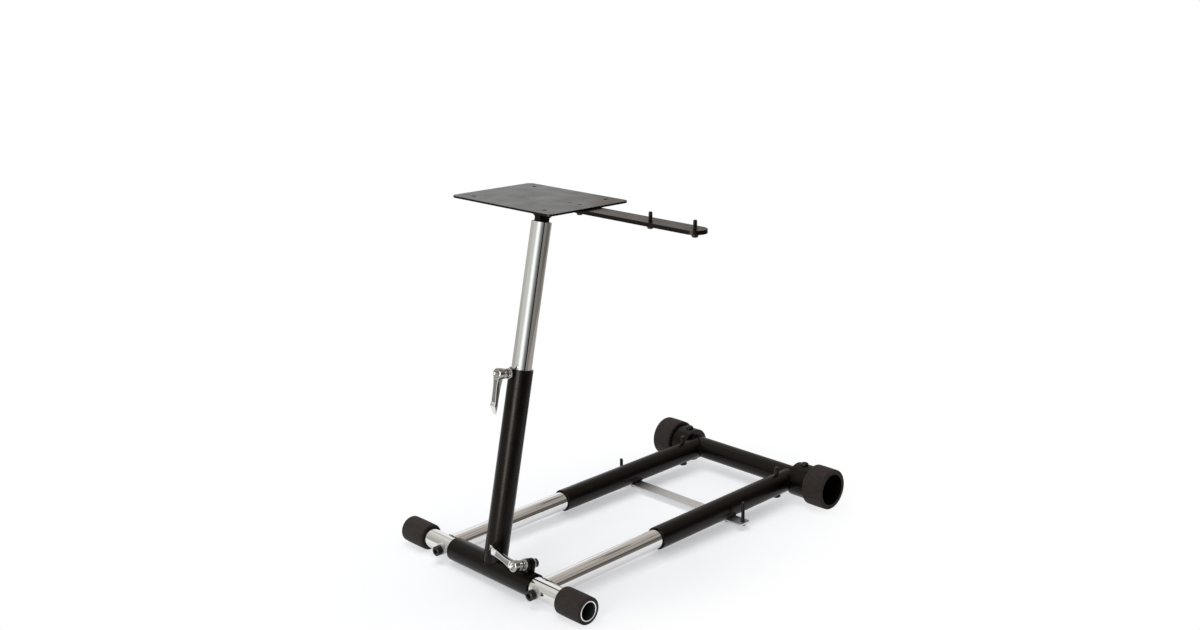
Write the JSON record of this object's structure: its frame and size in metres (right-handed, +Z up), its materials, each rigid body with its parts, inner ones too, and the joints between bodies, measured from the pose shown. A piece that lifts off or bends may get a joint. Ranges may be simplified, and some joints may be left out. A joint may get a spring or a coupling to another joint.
{
  "type": "racing wheel stand",
  "caption": "Folding stand for a racing wheel: chrome tube base on foam feet, leaning column with sliding mast, tilting wheel plate, side arm for a shifter and a pedal bar.",
  "frame": {"origin": "on the floor, under the middle of the stand's bounding box", "axes": "+Z up, +Y from the driver towards the pedals and the rear feet, +X to the driver's right, where the arm is"},
  "size_m": [0.542, 0.6748, 0.604],
  "materials": {
    "chrome_tube": "bright chrome plate",
    "black_paint": "satin black powder coat",
    "foam": "matt closed-cell foam",
    "black_screw": "black oxide",
    "plated_steel": "zinc plated",
    "lever_chrome": "chromed die casting"
  },
  "bodies": {
    "base": {"front_cross_tube": "chrome_tube", "front_foam_left": "foam", "front_foam_right": "foam", "rail_left": "chrome_tube", "rail_right": "chrome_tube", "saddle_washer_left": "plated_steel", "saddle_washer_right": "plated_steel", "rail_screw_left": "black_screw", "rail_screw_right": "black_screw"},
    "rear_frame": {"rear_cross_tube": "black_paint", "pedal_bar": "plated_steel", "rail_sleeve_left": "black_paint", "rail_sleeve_right": "black_paint", "rear_foot_left": "black_paint", "rear_foot_right": "black_paint", "rear_foam_left": "foam", "rear_foam_right": "foam", "rear_foot_bolt_left": "black_screw", "rear_foot_bolt_right": "black_screw", "pedal_stud_front_left": "black_screw", "pedal_stud_front_right": "black_screw", "pedal_stud_rear_left": "black_screw", "pedal_stud_rear_right": "black_screw", "rail_lock_screw_left": "black_screw", "rail_lock_screw_right": "black_screw"},
    "column": {"tilt_sleeve": "black_paint", "column_tube": "black_paint", "upper_clamp_nut": "black_paint", "upper_clamp_washer": "plated_steel", "lower_clamp_nut": "black_screw", "lower_clamp_washers": "plated_steel"},
    "lower_lever": {"lower_clamp_lever": "lever_chrome"},
    "upper_lever": {"upper_clamp_lever": "lever_chrome"},
    "mast": {"mast_tube": "chrome_tube", "mast_head": "black_paint"},
    "wheel_head": {"wheel_plate": "black_paint", "tilt_cheek_left": "black_paint", "tilt_cheek_right": "black_paint", "tilt_bolt": "black_screw", "tilt_nut": "black_screw", "shifter_arm": "black_paint", "arm_bolt_inner": "black_screw", "arm_bolt_outer": "black_screw", "shifter_stud_inner": "black_screw", "shifter_stud_outer": "black_screw"}
  },
  "joints": [
    {"name": "base_length", "type": "slide", "parent": "base", "child": "rear_frame", "axis": [0, 0.9997, 0.0238], "range_m": [-0.03, 0.07]},
    {"name": "column_tilt", "type": "hinge", "parent": "base", "child": "column", "pos_m": [-0.058, -0.30826, 0.021], "axis": [-1, 0, 0], "range_deg": [-20, 60]},
    {"name": "lower_lever_turn", "type": "hinge", "parent": "column", "child": "lower_lever", "pos_m": [0.0155, -0.30275, 0.04845], "axis": [0, 0.9804, -0.1968], "range_deg": [0, 160]},
    {"name": "upper_lever_turn", "type": "hinge", "parent": "column", "child": "upper_lever", "pos_m": [-0.058, -0.24705, 0.32592], "axis": [0, -0.9804, 0.1968], "range_deg": [0, 180]},
    {"name": "mast_height", "type": "slide", "parent": "column", "child": "mast", "axis": [0, 0.1968, 0.9804], "range_m": [-0.13, 0.09]},
    {"name": "plate_tilt", "type": "hinge", "parent": "mast", "child": "wheel_head", "pos_m": [-0.058, -0.19706, 0.575], "axis": [1, 0, 0], "range_deg": [-25, 25]}
  ]
}
